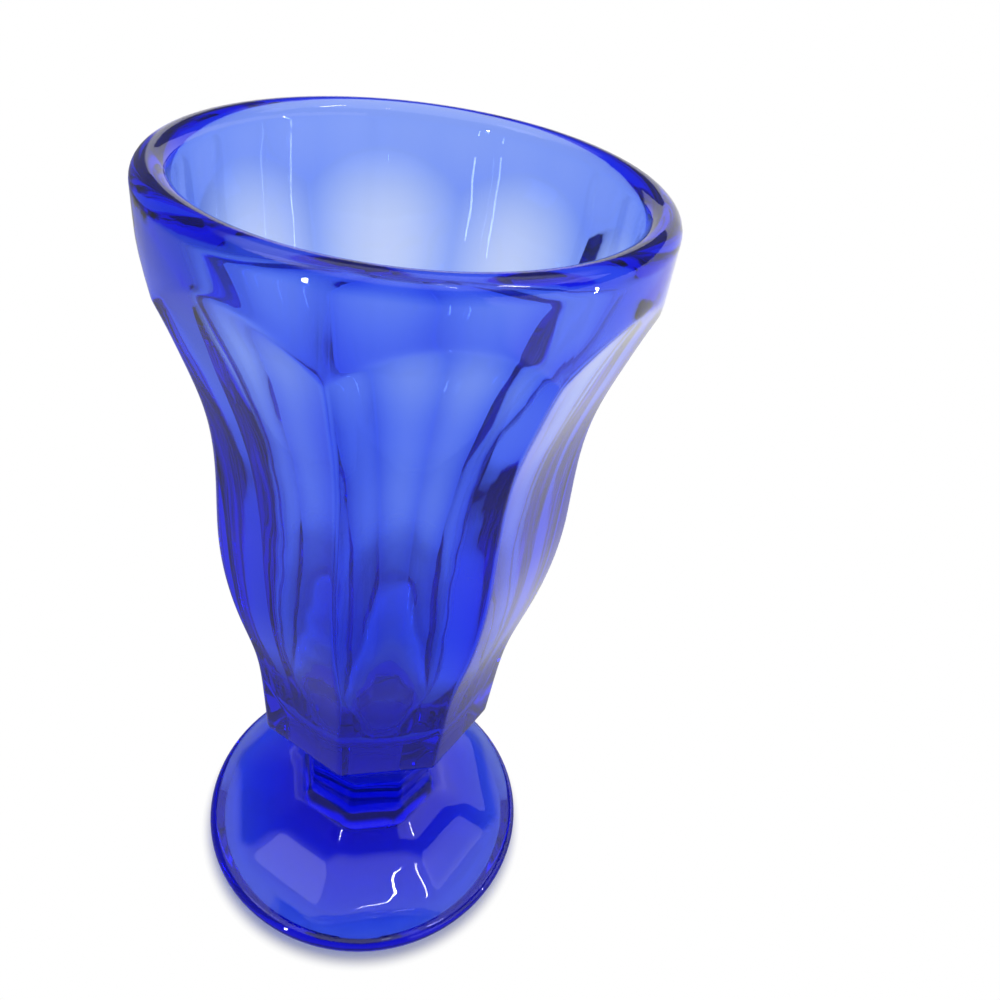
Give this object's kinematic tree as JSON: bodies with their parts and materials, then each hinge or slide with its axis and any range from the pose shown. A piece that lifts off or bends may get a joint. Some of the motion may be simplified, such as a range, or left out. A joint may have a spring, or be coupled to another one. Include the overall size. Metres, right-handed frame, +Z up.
{
  "type": "parfait glass",
  "caption": "Footed parfait glass in clear cobalt blue: flared bowl with arched flat panels under a plain round band, short flat-sided stem and round faceted foot.",
  "frame": {"origin": "centre of the foot on the plane that the glass stands on", "axes": "+Z up the axis of the glass, with the middle of one flat panel facing -Y"},
  "size_m": [0.0834, 0.0834, 0.17],
  "materials": {
    "cobalt_glass": "clear, fire-polished pressed glass coloured cobalt blue all through"
  },
  "bodies": {
    "root": {"bowl": "cobalt_glass", "stem": "cobalt_glass", "foot": "cobalt_glass"}
  },
  "joints": []
}
